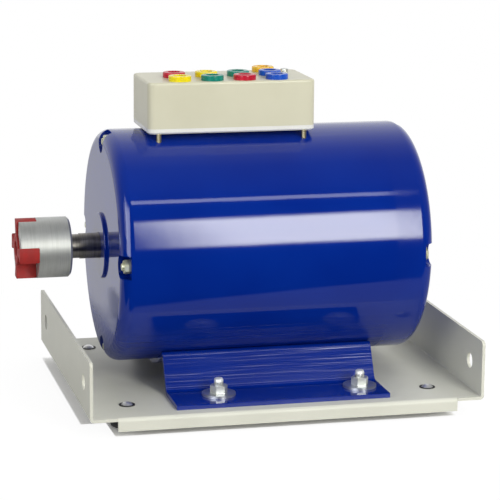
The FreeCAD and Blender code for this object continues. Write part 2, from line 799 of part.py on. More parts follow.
def make_box():
    box = box_outline(0.0, box_base_top, box_top - box_base_top)
    lids = [edge for edge in box.Edges if edge.BoundBox.ZMin > box_top - seat_gap]
    box = box.makeFillet(box_edge, lids)
    hollow = box_outline(box_wall, box_base_top - overrun, box_top - box_wall - box_base_top + overrun)
    holes = [
        rod_z(socket_body_d / 2 + seat_gap, box_base_top, box_top + overrun, x, y)
        for x, y in all_sockets()
    ]
    holes.append(rod_z(earth_screw_d / 2 + seat_gap, box_base_top, box_top + overrun, *earth_screw_place()))
    return box.cut([hollow] + holes)


def make_box_base():
    base = box_outline(0.0, box_low, box_base_thickness)
    under = [edge for edge in base.Edges if edge.BoundBox.ZMax < box_low + seat_gap]
    base = base.makeChamfer(box_base_bevel, under)
    rim_inset = box_wall + seat_gap
    rim_low = box_low + box_base_bevel
    rim = box_outline(rim_inset, rim_low, box_base_top + box_rim_height - rim_low)
    well = box_outline(rim_inset + box_rim_wall, box_base_top, box_rim_height + overrun)
    holes = [rod_z(bush_d / 2 + seat_gap, box_low - overrun, box_top, lead_x, lead_offset_y)]
    holes += [
        rod_z(pillar_stub_d / 2 + seat_gap, box_low - overrun, box_top, x, y)
        for x, y in corners(pillar_pitch_x, pillar_pitch_y, box_centre_x)
    ]
    return base.fuse(rim.cut(well)).cut(holes).removeSplitter()


def make_pillar(x, y):
    """A thin pillar on the curved shell, with a stub into the shell and one into the box's base."""
    low = axis_z + math.sqrt(shell_bore_r**2 - y**2) - shell_wall
    along = (x - pillar_d, x + pillar_d)
    pillar = rod_z(pillar_d / 2, low, box_low, x, y).cut(rod_x(casing_r + seat_gap, *along))
    stub = rod_z(pillar_stub_d / 2, low, box_base_top, x, y).cut(rod_x(shell_bore_r, *along))
    return joined([pillar, stub])


def make_bush():
    """A rubber bush that lines the lead's hole from the shell's bore up into the box."""
    far_side = lead_offset_y + bush_d / 2
    low = axis_z + math.sqrt(shell_bore_r**2 - far_side**2)
    high = box_base_top + bush_flange_thickness
    sleeve = rod_z(bush_d / 2, low, high, lead_x, lead_offset_y)
    flange = rod_z(bush_flange_d / 2, box_base_top, high, lead_x, lead_offset_y)
    hole = rod_z(loom_d / 2 + seat_gap, low - overrun, high + overrun, lead_x, lead_offset_y)
    return joined([sleeve, flange]).cut(hole)


def make_loom():
    """The lead of the windings, from their end turns up into the box."""
    loom = rod_z(loom_d / 2, axis_z, box_base_top + loom_above_base, lead_x, lead_offset_y)
    return loom.cut(rod_x(winding_r + seat_gap, lead_x - loom_d, lead_x + loom_d))


def make_socket(x, y):
    """A moulded socket: head, barbed body and the well that a plug's sleeve enters."""
    head_top = box_top + socket_head_height
    body_low = box_top - socket_body_length
    well_floor = head_top - socket_well_depth
    head_r = socket_head_d / 2
    contact_r = contact_d / 2 + seat_gap
    body_r, snap_r = socket_body_d / 2, socket_snap_d / 2
    snap_top = box_top - box_wall - seat_gap
    profile = Outline(lambda a, b: Vector(x + a, y, b), contact_r, body_low)
    profile.line(body_r, body_low).line(body_r, snap_top - socket_snap_length).line(snap_r, snap_top)
    profile.line(body_r, snap_top).line(body_r, box_top).line(head_r, box_top)
    profile.bend((head_r - socket_head_edge, head_top - socket_head_edge), socket_head_edge, 0, 90)
    profile.line(socket_well_d / 2, head_top).line(socket_well_d / 2, well_floor).line(contact_r, well_floor)
    return profile.face().revolve(Vector(x, y, 0), Z_WAY, 360)


def make_contact(x, y):
    """A brass contact: a sleeve with the plug's hole, and a flat tab for a lead."""
    body_low = box_top - socket_body_length
    sleeve = rod_z(contact_d / 2, body_low, contact_top, x, y)
    hole = rod_z(plug_hole_d / 2, contact_top - plug_hole_depth, contact_top + overrun, x, y)
    half_width, half_thickness = contact_tab_width / 2, contact_tab_thickness / 2
    tab = block((x - half_width, x + half_width), (y - half_thickness, y + half_thickness),
                (body_low - contact_tab_length, body_low))
    return joined([sleeve.cut(hole), tab])


def make_earth_screw():
    x, y = earth_screw_place()
    head = rod_z(earth_screw_head_d / 2, box_top, box_top + earth_screw_head_height, x, y)
    rim = [edge for edge in head.Edges if edge.BoundBox.ZMin > box_top + seat_gap]
    head = head.makeFillet(nut_edge, rim)
    return joined([head, rod_z(earth_screw_d / 2, box_top - earth_screw_length, box_top, x, y)])


def at_corners(make, pitch_x, pitch_y, centre_x=0.0):
    return group([make(x, y) for x, y in corners(pitch_x, pitch_y, centre_x)])


def sockets_of(colour):
    return group([make_socket(x, y) for name, x, y in socket_places() if name == colour])


def main():
    saddle_bolts = (saddle_bolt_pitch_x, saddle_bolt_pitch_y, saddle_bolt_centre_x)
    tie_angles = [360 * n / tie_count for n in range(tie_count)]
    nodes = {
        "base_tray": make_tray(),
        "rubber_feet": at_corners(make_foot, foot_pitch_x, foot_pitch_y),
        "foot_pins": at_corners(make_pin, foot_pitch_x, foot_pitch_y),
        "motor_saddle": make_saddle(),
        "saddle_bolts": at_corners(make_saddle_bolt, *saddle_bolts),
        "saddle_washers": at_corners(make_saddle_washer, *saddle_bolts),
        "saddle_nuts": at_corners(make_saddle_nut, *saddle_bolts),
        "motor_shell": make_shell(),
        "drive_end_shield": make_shield(drive_face, 1, drive_rim, True),
        "rear_end_shield": make_shield(rear_face, -1, rear_rim, False),
        "tie_bolts": group([make_tie_bolt(angle) for angle in tie_angles]),
        "tie_bolt_nuts": group([make_tie_nut(angle) for angle in tie_angles]),
        "stator_core": make_stator_core(),
        "stator_windings": make_windings(),
        "lead_loom": make_loom(),
        "lead_bush": make_bush(),
        "rotor_core": make_rotor_core(),
        "rotor_cage": make_cage(),
        "shaft": make_shaft(),
        "preload_washer": make_preload_washer(),
        "coupling_hub": make_hub(),
        "coupling_spider": make_spider(),
        "coupling_key": make_key(0.0),
        "coupling_set_screw": make_set_screw(),
        "terminal_box": make_box(),
        "terminal_box_base": make_box_base(),
        "box_pillars": at_corners(make_pillar, pillar_pitch_x, pillar_pitch_y, box_centre_x),
        "earth_socket": make_socket(*earth_place()),
        "socket_contacts": group([make_contact(x, y) for x, y in all_sockets()]),
        "earth_screw": make_earth_screw(),
    }
    for colour in ("yellow", "green", "red", "blue"):
        nodes[colour + "_sockets"] = sockets_of(colour)
    for end, start in (("drive", drive_bearing_x), ("rear", rear_bearing_x)):
        nodes[end + "_bearing_outer_ring"] = make_race(start, outer_race_shoulder_d / 2, bearing_r)
        nodes[end + "_bearing_inner_ring"] = make_race(start, bearing_bore_d / 2, inner_race_shoulder_d / 2)
        nodes[end + "_bearing_balls"] = make_balls(start)
        nodes[end + "_bearing_cage"] = make_ball_cage(start)

    os.makedirs("parts", exist_ok=True)
    for name, shape in nodes.items():
        shape.exportStep("parts/" + name + ".step")
        state = "valid" if shape.isValid() else "INVALID"
        print(name, len(shape.Solids), "solids", round(shape.Volume), "mm3", state)


main()
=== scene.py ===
# %% [markdown]
# # A demonstration motor, dressed in Blender
# The solids of the motor come from its CAD source, and this lesson gives them their looks. It
# loads them, builds the few pieces that need more shape than the solids have, such as threads and
# soft moulded edges, and then paints, plates and lights everything as in a small studio.
# Lengths are in metres, X runs along the shaft, Y runs away from the front and Z is up.

# %% Load the motor's solids
import math

import bmesh
import bpy
from mathutils import Matrix, Vector


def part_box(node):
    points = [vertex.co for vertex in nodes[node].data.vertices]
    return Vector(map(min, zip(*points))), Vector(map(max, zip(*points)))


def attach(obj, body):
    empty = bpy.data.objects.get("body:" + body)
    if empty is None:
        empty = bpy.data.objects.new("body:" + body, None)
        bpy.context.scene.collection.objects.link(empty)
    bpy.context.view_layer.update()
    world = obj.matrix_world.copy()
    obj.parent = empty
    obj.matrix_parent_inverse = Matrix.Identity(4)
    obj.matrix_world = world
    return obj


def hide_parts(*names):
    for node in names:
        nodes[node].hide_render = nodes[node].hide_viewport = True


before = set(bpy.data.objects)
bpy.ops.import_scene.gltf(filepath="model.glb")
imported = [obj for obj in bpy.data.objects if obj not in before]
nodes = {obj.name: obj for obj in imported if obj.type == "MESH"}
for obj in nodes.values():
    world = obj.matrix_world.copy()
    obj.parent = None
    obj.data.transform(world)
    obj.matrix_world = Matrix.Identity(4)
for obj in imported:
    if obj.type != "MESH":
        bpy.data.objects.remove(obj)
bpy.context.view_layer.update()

# %% [markdown]
# ## The camera
# A long lens stands about 1.4 m in front of the motor, a little to the coupling's side and a
# little above the box. A long lens keeps the far edges of the tray nearly as large as the near
# ones. Its place was found by matching corners of the tray, the box and the drum.

# %% Set the camera
MM = 0.001
CAMERA_AT = Vector((-344.989, -1388.052, 399.962)) * MM
CAMERA_TURN, CAMERA_TILT, CAMERA_ROLL = 13.864, 12.032, 0.479
CAMERA_LENS = 155.70

camera_data = bpy.data.cameras.new("studio_camera")
camera_data.lens = CAMERA_LENS
camera_data.clip_start = 0.05
camera = bpy.data.objects.new("studio_camera", camera_data)
bpy.context.scene.collection.objects.link(camera)
camera.matrix_world = (
    Matrix.Translation(CAMERA_AT)
    @ Matrix.Rotation(math.radians(-CAMERA_TURN), 4, "Z")
    @ Matrix.Rotation(math.radians(90 - CAMERA_TILT), 4, "X")
    @ Matrix.Rotation(math.radians(CAMERA_ROLL), 4, "Z")
)
bpy.context.scene.camera = camera
print("camera at", tuple(round(v, 3) for v in CAMERA_AT), "lens", CAMERA_LENS)

# %% [markdown]
# ## Tools for the hand-made pieces
# Most solids need nothing but a finish. A few are better made again: the bolts, whose threads the
# solids leave out, and the red spider of the coupling, which is a soft moulding. Each is made with
# the operators a person would use in edit mode. An operator acts on whatever is selected, so these
# helpers deselect everything first and then pick vertices, edges or faces by where they are.

# %% Helpers for modelling
def start_clean():
    """Leaves edit mode and deselects everything."""
    if bpy.context.object and bpy.context.object.mode != "OBJECT":
        bpy.ops.object.mode_set(mode="OBJECT")
    bpy.ops.object.select_all(action="DESELECT")


def take(*pieces):
    """Selects these pieces alone. The first is the active one."""
    start_clean()
    for piece in pieces:
        piece.select_set(True)
    bpy.context.view_layer.objects.active = pieces[0]
    return pieces[0]


def pick(piece, kind, test):
    """In edit mode, selects the verts, edges or faces whose middle passes the test."""
    bpy.ops.mesh.select_mode(type={"verts": "VERT", "edges": "EDGE", "faces": "FACE"}[kind])
    bpy.ops.mesh.select_all(action="DESELECT")
    shape = bmesh.from_edit_mesh(piece.data)
    chosen = 0
    for element in getattr(shape, kind):
        points = [element.co] if kind == "verts" else [v.co for v in element.verts]
        if test(sum(points, Vector()) / len(points)):
            element.select_set(True)
            chosen += 1
    bmesh.update_edit_mesh(piece.data)
    return chosen


def apply_all(piece):
    """Applies every modifier of the piece, from the top down."""
    take(piece)
    for modifier in list(piece.modifiers):
        bpy.ops.object.modifier_apply(modifier=modifier.name)


def settle(piece, body, slot_name, *stands_for):
    """Puts the piece's place into its mesh, hangs it on its body and hides the solids it stands
    for.
    """
    take(piece)
    bpy.ops.object.transform_apply(location=True, rotation=True, scale=True)
    piece.data.name = piece.name
    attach(piece, body)
    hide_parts(*stands_for)
    print(piece.name, len(piece.data.vertices), "vertices, on", body)


# %% [markdown]
# ## A screw thread
# A metric thread is one ridge that winds around a rod. The Screw modifier does the same: it turns
# a small V, drawn beside the axis, and lifts it by one pitch a turn. The V here is a triangle with
# its inner side deleted. The winding is then cut square at both ends by Bisect, and the last ridge
# is pulled in a little, as a bolt's end is bevelled to find its nut.

# %% Wind a threaded rod
THREAD_DEPTH = 0.61  # of the pitch, as on every metric thread
END_BEVEL = 0.6 * MM
STEPS_A_TURN, SPARE_TURNS = 20, 3
MERGE_DISTANCE = 0.01 * MM


def threaded_rod(name, radius, pitch, length):
    """The ridge of a thread. It stands on the origin, with its bevelled end on top."""
    start_clean()
    depth = THREAD_DEPTH * pitch
    wide, high = depth / 1.5, pitch / math.sqrt(3)
    bpy.ops.mesh.primitive_circle_add(
        vertices=3, radius=1.0, fill_type="NOTHING", location=(radius - wide, 0.0, 0.0),
        rotation=(math.radians(-90), math.radians(-90), 0.0), scale=(high, wide, 1.0))
    rod = bpy.context.object
    rod.name = name
    bpy.ops.object.transform_apply(location=True, rotation=True, scale=True)
    bpy.ops.object.mode_set(mode="EDIT")
    pick(rod, "edges", lambda middle: middle.x < radius - 0.9 * depth)
    bpy.ops.mesh.delete(type="EDGE")
    bpy.ops.object.mode_set(mode="OBJECT")
    screw = rod.modifiers.new("winding", "SCREW")
    screw.screw_offset, screw.iterations = pitch, math.ceil(length / pitch) + SPARE_TURNS
    screw.steps = screw.render_steps = STEPS_A_TURN
    screw.use_merge_vertices, screw.merge_threshold = True, MERGE_DISTANCE
    apply_all(rod)
    bpy.ops.object.mode_set(mode="EDIT")
    for height, side in ((pitch, -1.0), (pitch + length, 1.0)):
        bpy.ops.mesh.select_all(action="SELECT")
        bpy.ops.mesh.bisect(
            plane_co=(0.0, 0.0, height), plane_no=(0.0, 0.0, side), clear_outer=True)
    bpy.ops.mesh.select_all(action="SELECT")
    bpy.ops.transform.translate(value=(0.0, 0.0, -pitch))
    bpy.ops.mesh.normals_make_consistent(inside=False)
    bpy.ops.object.mode_set(mode="OBJECT")
    for vertex in rod.data.vertices:
        flat = vertex.co.xy.length
        limit = radius - max(0.0, vertex.co.z - (length - END_BEVEL))
        if flat > limit:
            vertex.co.xy *= limit / flat
    return rod


# %% [markdown]
# ## Bolts
# A hexagon head starts as a six-sided cylinder. Its corners are bevelled, as turning the bar
# before it is cut leaves them, and a narrow inset below it draws the washer face. A plain core
# fills the middle of the thread and makes its flat end. Thread, core, a plain shank where the real
# bolt has one, and the head become one piece. It is modelled once and copied to the other places.
# The solids give every place, so nothing is fitted by eye.

# %% Model a bolt
CORE_SIDES, SHANK_SIDES = 40, 32
SHANK_SHARE, SHANK_OVERLAP = 0.97, 0.5 * MM  # a shank is a little thinner than its thread
SHANK_EDGE, SHANK_STEP = 0.3 * MM, 0.15 * MM
CORNER_BEVEL, WASHER_FACE = 0.12, 0.06  # of the width across flats
SMOOTH_ANGLE = math.radians(35)


def hexagon_bolt(name, radius, pitch, thread_length, whole_length, across_flats, head_height):
    """A bolt with its head on the origin and its thread pointing up."""
    rod = take(threaded_rod(name, radius, pitch, thread_length))
    rod.location.z = whole_length - thread_length
    bpy.ops.object.transform_apply(location=True, rotation=True, scale=True)
    bpy.ops.mesh.primitive_cylinder_add(
        vertices=CORE_SIDES, radius=radius - END_BEVEL, depth=whole_length,
        location=(0.0, 0.0, whole_length / 2))
    parts = [rod, bpy.context.object]
    shank_length = whole_length - thread_length + SHANK_OVERLAP
    bpy.ops.mesh.primitive_cylinder_add(
        vertices=SHANK_SIDES, radius=SHANK_SHARE * radius, depth=shank_length,
        location=(0.0, 0.0, shank_length / 2))
    shank = bpy.context.object
    bpy.ops.object.mode_set(mode="EDIT")
    pick(shank, "faces", lambda middle: middle.z > 0.49 * shank_length)
    bpy.ops.mesh.inset(thickness=SHANK_EDGE, depth=SHANK_STEP)
    bpy.ops.object.mode_set(mode="OBJECT")
    parts.append(shank)
    bpy.ops.mesh.primitive_cylinder_add(
        vertices=6, radius=across_flats / math.sqrt(3), depth=head_height,
        location=(0.0, 0.0, -head_height / 2), rotation=(0.0, 0.0, math.radians(30)))
    head = bpy.context.object
    bpy.ops.object.mode_set(mode="EDIT")
    pick(head, "verts", lambda middle: middle.z < 0.0)
    bpy.ops.mesh.bevel(offset=CORNER_BEVEL * across_flats, segments=2, affect="VERTICES")
    pick(head, "faces", lambda middle: middle.z > 0.49 * head_height)
    bpy.ops.mesh.inset(thickness=WASHER_FACE * across_flats, depth=0.0)
    bpy.ops.object.mode_set(mode="OBJECT")
    parts.append(head)
    bolt = take(*parts)
    bpy.ops.object.join()
    bpy.ops.object.shade_smooth_by_angle(angle=SMOOTH_ANGLE)
    return bolt


def copy_of(piece, name):
    """A copy with a mesh of its own."""
    take(piece)
    bpy.ops.object.duplicate(linked=False)
    other = bpy.context.object
    other.name = name
    return other


# %% Place the saddle's four bolts
bolt_low, bolt_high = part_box("saddle_bolts")
M6_FLATS, M6_HEAD = 10.0 * MM, 4.0 * MM
half_corners = M6_FLATS / math.sqrt(3)
bolt_length = bolt_high.z - bolt_low.z - M6_HEAD
bolt_places = [
    (x, y) for x in (bolt_low.x + half_corners, bolt_high.x - half_corners)
    for y in (bolt_low.y + M6_FLATS / 2, bolt_high.y - M6_FLATS / 2)
]
pattern_bolt = hexagon_bolt(
    "saddle_bolt_1", radius=3.0 * MM, pitch=1.0 * MM, thread_length=14.0 * MM,
    whole_length=bolt_length, across_flats=M6_FLATS, head_height=M6_HEAD)
saddle_bolts = [pattern_bolt] + [copy_of(pattern_bolt, f"saddle_bolt_{n}") for n in (2, 3, 4)]
for bolt, (x, y) in zip(saddle_bolts, bolt_places):
    bolt.location = (x, y, bolt_low.z + M6_HEAD)
    settle(bolt, "stator", "zinc_plate", "saddle_bolts")

# %% Place the four tie bolts
tie_low, tie_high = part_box("tie_bolts")
M5_FLATS, M5_HEAD = 8.0 * MM, 2.8 * MM
axis_z = (tie_low.z + tie_high.z) / 2
tie_circle = tie_high.y - M5_FLATS / 2
tie_length = tie_high.x - M5_HEAD - tie_low.x
pattern_tie = hexagon_bolt(
    "tie_bolt_1", radius=2.5 * MM, pitch=0.8 * MM, thread_length=12.0 * MM,
    whole_length=tie_length, across_flats=M5_FLATS, head_height=M5_HEAD)
tie_bolts = [pattern_tie] + [copy_of(pattern_tie, f"tie_bolt_{n}") for n in (2, 3, 4)]
for n, bolt in enumerate(tie_bolts):
    bolt.matrix_world = (
        Matrix.Translation((0.0, 0.0, axis_z)) @ Matrix.Rotation(math.radians(90 * n), 4, "X")
        @ Matrix.Translation((tie_high.x - M5_HEAD, -tie_circle, 0.0))
        @ Matrix.Rotation(math.radians(-90), 4, "Y"))
    settle(bolt, "stator", "yellow_zinc", "tie_bolts")
print("the tie bolts stand", round(tie_circle / MM, 1), "mm from the axis")

# %% [markdown]
# ## The red spider
# The soft half of the coupling is moulded in one go from an elastomer: a ring with four legs that
# fill the gaps beside the jaws. A mould has no sharp inner corners, so the legs flow into the ring
# with small fillets. To get them, ring and legs are modelled roughly, joined, and fused by a voxel
# remesh, whose skin is then smoothed. Last, the skin is held inside the hub's own diameter.

# %% Model the ring of the spider
spider_low, spider_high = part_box("coupling_spider")
spider_length = spider_high.x - spider_low.x
spider_x = (spider_low.x + spider_high.x) / 2
hub_radius = (spider_high.z - spider_low.z) / 2
RING_RADIUS, RING_BORE = 10.3 * MM, 5.0 * MM
LEG_ANGLE, FIRST_LEG = 30.0, -4.0
LEG_ROOT, LEG_SPARE, LEG_BEVEL = 2.5 * MM, 0.4 * MM, 0.7 * MM
VOXEL, SKIN_PLAY = 0.36 * MM, 0.1 * MM

start_clean()
bpy.ops.mesh.primitive_cylinder_add(
    vertices=72, radius=RING_RADIUS, depth=spider_length, location=(spider_x, 0.0, axis_z),
    rotation=(0.0, math.radians(90), 0.0))
spider = bpy.context.object
spider.name = "elastomer_spider"
bpy.ops.object.mode_set(mode="EDIT")
pick(spider, "faces", lambda middle: abs(middle.z) > 0.49 * spider_length)
bpy.ops.mesh.inset(thickness=RING_RADIUS - RING_BORE, depth=0.0)
bpy.ops.mesh.delete(type="FACE")
bpy.ops.mesh.select_mode(type="EDGE")
bpy.ops.mesh.select_non_manifold()
bpy.ops.mesh.bridge_edge_loops()
bpy.ops.object.mode_set(mode="OBJECT")

# %% Model one leg and turn it to its four places
inner, outer = RING_RADIUS - LEG_ROOT, hub_radius + LEG_SPARE
bpy.ops.mesh.primitive_cube_add(
    size=1.0, location=(spider_x, -(inner + outer) / 2, axis_z),
    scale=(spider_length, outer - inner, 1.0 * MM))
leg = bpy.context.object
bpy.ops.object.transform_apply(location=False, rotation=False, scale=True)
half_turn = math.tan(math.radians(LEG_ANGLE / 2))
bpy.ops.object.mode_set(mode="EDIT")
for radius, side in ((inner, 1.0), (outer, -1.0)):
    pick(leg, "verts", lambda middle: middle.y * side > 0.0)
    bpy.ops.transform.resize(
        value=(1.0, 1.0, 2 * radius * half_turn / MM), center_override=leg.location)
bpy.ops.mesh.select_all(action="SELECT")
bpy.ops.mesh.bevel(offset=LEG_BEVEL, segments=3, affect="EDGES")
bpy.ops.object.mode_set(mode="OBJECT")
legs = [leg] + [copy_of(leg, f"leg_{n}") for n in (2, 3, 4)]
for n, piece in enumerate(legs):
    piece.matrix_world = (
        Matrix.Translation((0.0, 0.0, axis_z))
        @ Matrix.Rotation(math.radians(-FIRST_LEG - 90 * n), 4, "X")
        @ Matrix.Translation((spider_x, -(inner + outer) / 2, 0.0)))

# %% Fuse and smooth the spider
take(spider, *legs)
bpy.ops.object.join()
bpy.ops.object.transform_apply(location=True, rotation=True, scale=True)
fuse = spider.modifiers.new("fuse", "REMESH")
fuse.mode, fuse.voxel_size = "VOXEL", VOXEL
soften = spider.modifiers.new("soften", "SMOOTH")
soften.factor, soften.iterations = 0.5, 4
apply_all(spider)
skin_radius = hub_radius - SKIN_PLAY
for vertex in spider.data.vertices:
    off_axis = Vector((vertex.co.y, vertex.co.z - axis_z))
    if off_axis.length > skin_radius:
        off_axis *= skin_radius / off_axis.length
        vertex.co.y, vertex.co.z = off_axis.x, axis_z + off_axis.y
    vertex.co.x = min(max(vertex.co.x, spider_low.x), spider_high.x)
take(spider)
bpy.ops.object.shade_smooth()
settle(spider, "rotor", "spider_rubber", "coupling_spider")

# %% [markdown]
# ## A way to write materials
# A finish is a small circuit of nodes. Wiring it by hand hides the idea, so a wire of that circuit
# is wrapped in a class that understands plus, minus, times and powers: `1 - mask` then adds the
# Math node by itself. Every other node comes from one method that sets the node's own settings
# first and then fills its sockets with numbers or with wires.

# %% A wire that can be used in sums
class Wire:
    """The output of a node, which can be added, multiplied and so on."""

    def __init__(self, finish, socket):
        self.finish, self.socket = finish, socket

    def sum_node(self, operation, first, second):
        return self.finish.node("ShaderNodeMath", {"operation": operation}, {0: first, 1: second})

    def part(self, axis):
        """How far the point on this wire lies along X, Y or Z."""
        return self.finish.node("ShaderNodeSeparateXYZ", sockets={"Vector": self}, output=axis)

    def __add__(self, other):
        return self.sum_node("ADD", self, other)

    def __radd__(self, other):
        return self.sum_node("ADD", other, self)

    def __sub__(self, other):
        return self.sum_node("SUBTRACT", self, other)

    def __rsub__(self, other):
        return self.sum_node("SUBTRACT", other, self)

    def __mul__(self, other):
        return self.sum_node("MULTIPLY", self, other)

    def __rmul__(self, other):
        return self.sum_node("MULTIPLY", other, self)

    def __pow__(self, other):
        return self.sum_node("POWER", self, other)


# %% A finish, which is one material and its nodes
class Finish:
    """One material under construction. Its pattern space is the piece's own place, in metres."""

    def __init__(self, name, tree=None):
        if tree is None:
            self.material = bpy.data.materials.new(name)
            self.material.use_nodes = True
            tree = self.material.node_tree
        self.tree = tree
        self.tree.nodes.clear()

    def node(self, kind, settings=None, sockets=None, output=0):
        made = self.tree.nodes.new(kind)
        for name, value in (settings or {}).items():
            if name == "stops":
                self.fill_ramp(made.color_ramp, value)
            else:
                setattr(made, name, value)
        for name, value in (sockets or {}).items():
            if isinstance(value, Wire):
                self.tree.links.new(value.socket, made.inputs[name])
            else:
                made.inputs[name].default_value = value
        return Wire(self, made.outputs[output]) if made.outputs else None

    def fill_ramp(self, ramp, stops):
        while len(ramp.elements) < len(stops):
            ramp.elements.new(0.5)
        for element, (place, colour) in zip(ramp.elements, stops):
            element.position = place
            element.color = (*colour, 1.0)

    def place(self, stretch=(1.0, 1.0, 1.0), shift=(0.0, 0.0, 0.0)):
        """The point on the piece, stretched and shifted for a pattern."""
        point = self.node("ShaderNodeTexCoord", output="Object")
        return self.node(
            "ShaderNodeMapping", sockets={"Vector": point, "Scale": stretch, "Location": shift})

    def noise(self, size, detail=3.0, roughness=0.5, stretch=(1.0, 1.0, 1.0),
              shift=(0.0, 0.0, 0.0)):
        """Soft spots about this many millimetres across, from 0 to 1 with a mean of a half."""
        return self.node(
            "ShaderNodeTexNoise",
            sockets={"Vector": self.place(stretch, shift), "Scale": 1 / (size * MM),
                     "Detail": detail, "Roughness": roughness},
        )

    def between(self, value, low, high, new_low, new_high, smooth=True):
        """The value brought from one span to another and held inside it."""
        return self.node(
            "ShaderNodeMapRange",
            {"interpolation_type": "SMOOTHSTEP" if smooth else "LINEAR", "clamp": True},
            {"Value": value, "From Min": low, "From Max": high,
             "To Min": new_low, "To Max": new_high},
        )

    def blend(self, mask, first, second):
        """The first colour where the mask is 0, and the second where it is 1."""
        paints = [c if isinstance(c, Wire) else (*c, 1.0) for c in (first, second)]
        return self.node(
            "ShaderNodeMix", {"data_type": "RGBA"}, {0: mask, 6: paints[0], 7: paints[1]}, 2)

    def bump(self, height, depth):
        """A Bump node whose full height is so many millimetres deep."""
        return self.node("ShaderNodeBump", sockets={"Height": height, "Distance": depth * MM})

    def surface(self, **sockets):
        """The main shader, with its sockets named in plain words, put on the output."""
        named = {key.replace("_", " ").title(): value for key, value in sockets.items()}
        shader = self.node("ShaderNodeBsdfPrincipled", sockets=named)
        self.node("ShaderNodeOutputMaterial", sockets={"Surface": shader})
        return self.material


# %% Put a finish on solids
finished = set()


def dress(material, *wearers):
    """Gives these solids, or pieces made here, the material."""
    for wearer in wearers:
        piece = nodes[wearer] if isinstance(wearer, str) else wearer
        piece.data.materials.clear()
        piece.data.materials.append(material)
        finished.add(piece.name if piece is wearer else wearer)
    print(material.name, "on", len(wearers), "pieces")


# %% [markdown]
# ## Blue enamel
# The drum, its two shields and the saddle wear a deep blue gloss enamel. Wet enamel pulls itself
# almost flat, so its gloss is nearly a mirror, with a faint swell a few millimetres wide. It was
# laid on lengthwise, which leaves shallow ridges along the shaft. They are strongest on the
# saddle's upper part and on the drum just above it, where reflections break up into streaks. The
# colour hardly varies; a few dull specks keep it from looking like plastic. Higher on the drum the
# bumps are only hundredths of a millimetre deep, since gloss shows every slope.
# The saddle's copy of the enamel is painted 5 per cent darker, as painted shade for the drum's
# shadow on it.

# %% Mix the blue enamel
LOW_FROM, LOW_TO = 68.0 * MM, 46.0 * MM  # heights between which the drum's low part begins
WEB_FROM, WEB_TO = 18.0 * MM, 38.0 * MM  # heights between which the saddle's ridges grow
FACE_FROM, FACE_TO = -103.0 * MM, -104.6 * MM  # X where the drum turns into its flat end
LENGTHWISE = (0.025, 1.0, 1.0)
DARK_BLUE, LIGHT_BLUE = (0.0180, 0.230), (0.0222, 0.256)  # green and blue; red is next to none


def blue_enamel(name, swell, depth, roughness, ridges, ridge_depth,
                low_ridges=0.0, low_gloss=0.0, face_gloss=0.0, painted_shade_tone=1.0):
    finish = Finish(name)
    peel = finish.noise(swell, 2.0)
    height = finish.place().part("Z")
    low = finish.between(height, LOW_TO, LOW_FROM, 1.0, 0.0)
    face = finish.between(finish.place().part("X"), FACE_TO, FACE_FROM, face_gloss, 0.0)
    web_top = finish.between(height, WEB_FROM, WEB_TO, 0.45, 1.0)
    waves = finish.noise(ridges, 2.0, 0.5, stretch=LENGTHWISE, shift=(0.0, 2.0, 7.0))
    marks = finish.between(waves, 0.34, 0.72, 0.0, 1.0)
    fine = finish.noise(swell / 4, 2.0, shift=(3.0, 1.0, 2.0))
    cloud = finish.noise(60.0, 2.0)
    specks = finish.between(finish.noise(1.3, 1.0, shift=(1.0, 5.0, 4.0)), 0.74, 0.80, 0.0, 1.0)
    # painted_shade_tone darkens the whole colour: painted shade, used on the saddle under the
    # drum.
    dark = (0.0009, DARK_BLUE[0] * painted_shade_tone, DARK_BLUE[1] * painted_shade_tone)
    light = (0.0012, LIGHT_BLUE[0] * painted_shade_tone, LIGHT_BLUE[1] * painted_shade_tone)
    colour = finish.blend(finish.between(cloud, 0.3, 0.7, 0.0, 1.0), dark, light)
    gloss = roughness + 0.02 * cloud + 0.10 * specks + low_gloss * low + face
    swells = finish.bump(peel + 0.12 * fine, depth)
    ridge_height = marks * (ridge_depth + low_ridges * low) * web_top
    normal = finish.node("ShaderNodeBump", sockets={
        "Height": ridge_height, "Distance": 1.0 * MM, "Normal": swells})
    return finish.surface(base_color=colour, roughness=gloss, normal=normal)


drum_enamel = blue_enamel(
    "drum_enamel", swell=14.0, depth=0.020, roughness=0.045, ridges=3.0, ridge_depth=0.004,
    low_ridges=0.24, low_gloss=0.24, face_gloss=0.03)
shield_enamel = blue_enamel(
    "shield_enamel", swell=5.0, depth=0.030, roughness=0.10, ridges=3.0, ridge_depth=0.002)
# The saddle's enamel is painted 5 per cent darker than the drum's: painted shade for the shadow
# under the drum.
saddle_enamel = blue_enamel(
    "saddle_enamel", swell=8.0, depth=0.020, roughness=0.10, ridges=3.4, ridge_depth=0.060,
    painted_shade_tone=0.95)
dress(drum_enamel, "motor_shell", "drive_end_shield")
dress(shield_enamel, "rear_end_shield")
dress(saddle_enamel, "motor_saddle")

# %% [markdown]
# ## Light grey powder coat
# The tray is bent from sheet and powder coated. The powder melts into a satin skin with a grain
# of just under a millimetre, finer than enamel's swell and much less glossy. One noise makes the
# grain, and a wide faint cloud of colour stands for handling marks.

# %% Mix the powder coat
def powder_coat():
    finish = Finish("powder_coat")
    cloud = finish.noise(45.0, 3.0, shift=(2.0, 0.0, 1.0))
    grain = finish.noise(0.9, 3.0)
    colour = finish.blend(finish.between(cloud, 0.35, 0.65, 0.0, 1.0), (0.685, 0.685, 0.598),
                          (0.720, 0.720, 0.632))
    normal = finish.bump(grain, 0.035)
    return finish.surface(base_color=colour, roughness=0.42 + 0.10 * grain, normal=normal)


dress(powder_coat(), "base_tray")

# %% [markdown]
# ## Moulded plastic of the terminal box
# The box is a cream moulding whose tool was spark-eroded, which leaves a fine even texture, and
# its base is a paler moulding. Voronoi cells under the noise give the pebbled look of such a tool.

